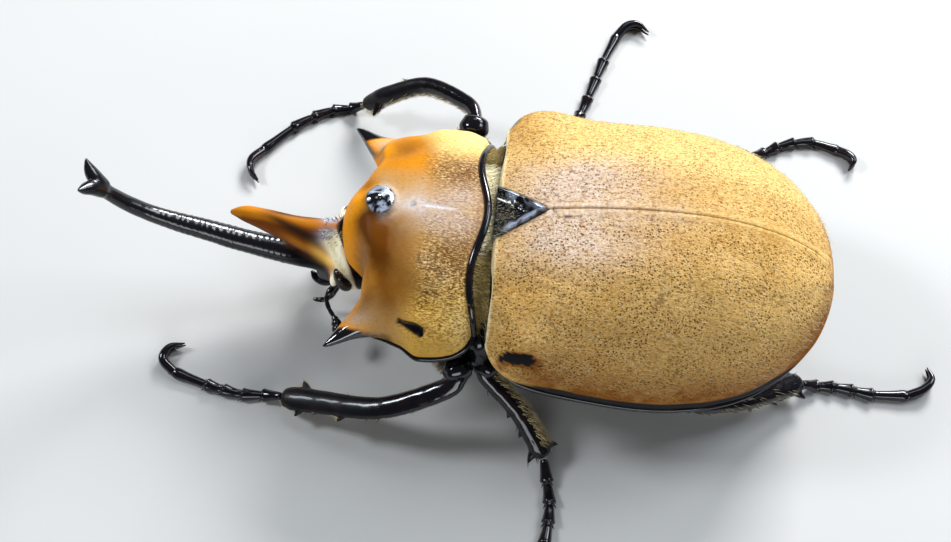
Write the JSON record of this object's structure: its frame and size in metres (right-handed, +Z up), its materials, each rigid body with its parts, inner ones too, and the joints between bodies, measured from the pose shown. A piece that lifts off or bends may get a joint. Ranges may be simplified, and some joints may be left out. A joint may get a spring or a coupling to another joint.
{
  "type": "elephant beetle model",
  "caption": "Life-size still model of a male elephant beetle standing with spread legs, with a forked head horn, horned amber pronotum and velvety tan wing covers.",
  "frame": {"origin": "on the floor under the middle of the whole beetle's outline", "axes": "-X toward the head, +Y the beetle's right side, +Z up"},
  "size_m": [0.1476, 0.119, 0.0381],
  "materials": {
    "velvet_tan": "short tan velvety pile over brown shell",
    "amber": "amber velvet over satin shell",
    "black_shell": "glossy black shell with fine texture",
    "brown_black": "satin maroon-black shell",
    "eye": "glossy dark brown, finely faceted"
  },
  "bodies": {
    "root": {"abdomen": "brown_black", "antenna_left": "black_shell", "antenna_right": "black_shell", "elytron_left": "velvet_tan", "elytron_right": "velvet_tan", "eye_left": "eye", "eye_right": "eye", "front_left_coxa": "black_shell", "front_left_femur": "black_shell", "front_left_tarsus": "black_shell", "front_left_tibia": "black_shell", "front_right_coxa": "black_shell", "front_right_femur": "black_shell", "front_right_tarsus": "black_shell", "front_right_tibia": "black_shell", "head": "amber", "head_horn": "black_shell", "hind_left_coxa": "black_shell", "hind_left_femur": "black_shell", "hind_left_tarsus": "black_shell", "hind_left_tibia": "black_shell", "hind_right_coxa": "black_shell", "hind_right_femur": "black_shell", "hind_right_tarsus": "black_shell", "hind_right_tibia": "black_shell", "mandible_left": "black_shell", "mandible_right": "black_shell", "middle_left_coxa": "black_shell", "middle_left_femur": "black_shell", "middle_left_tarsus": "black_shell", "middle_left_tibia": "black_shell", "middle_right_coxa": "black_shell", "middle_right_femur": "black_shell", "middle_right_tarsus": "black_shell", "middle_right_tibia": "black_shell", "palp_left": "black_shell", "palp_right": "black_shell", "pronotal_horn_left": "amber", "pronotal_horn_right": "amber", "prothorax": "amber", "pygidium": "brown_black", "scutellum": "black_shell", "thorax": "brown_black"}
  },
  "joints": []
}
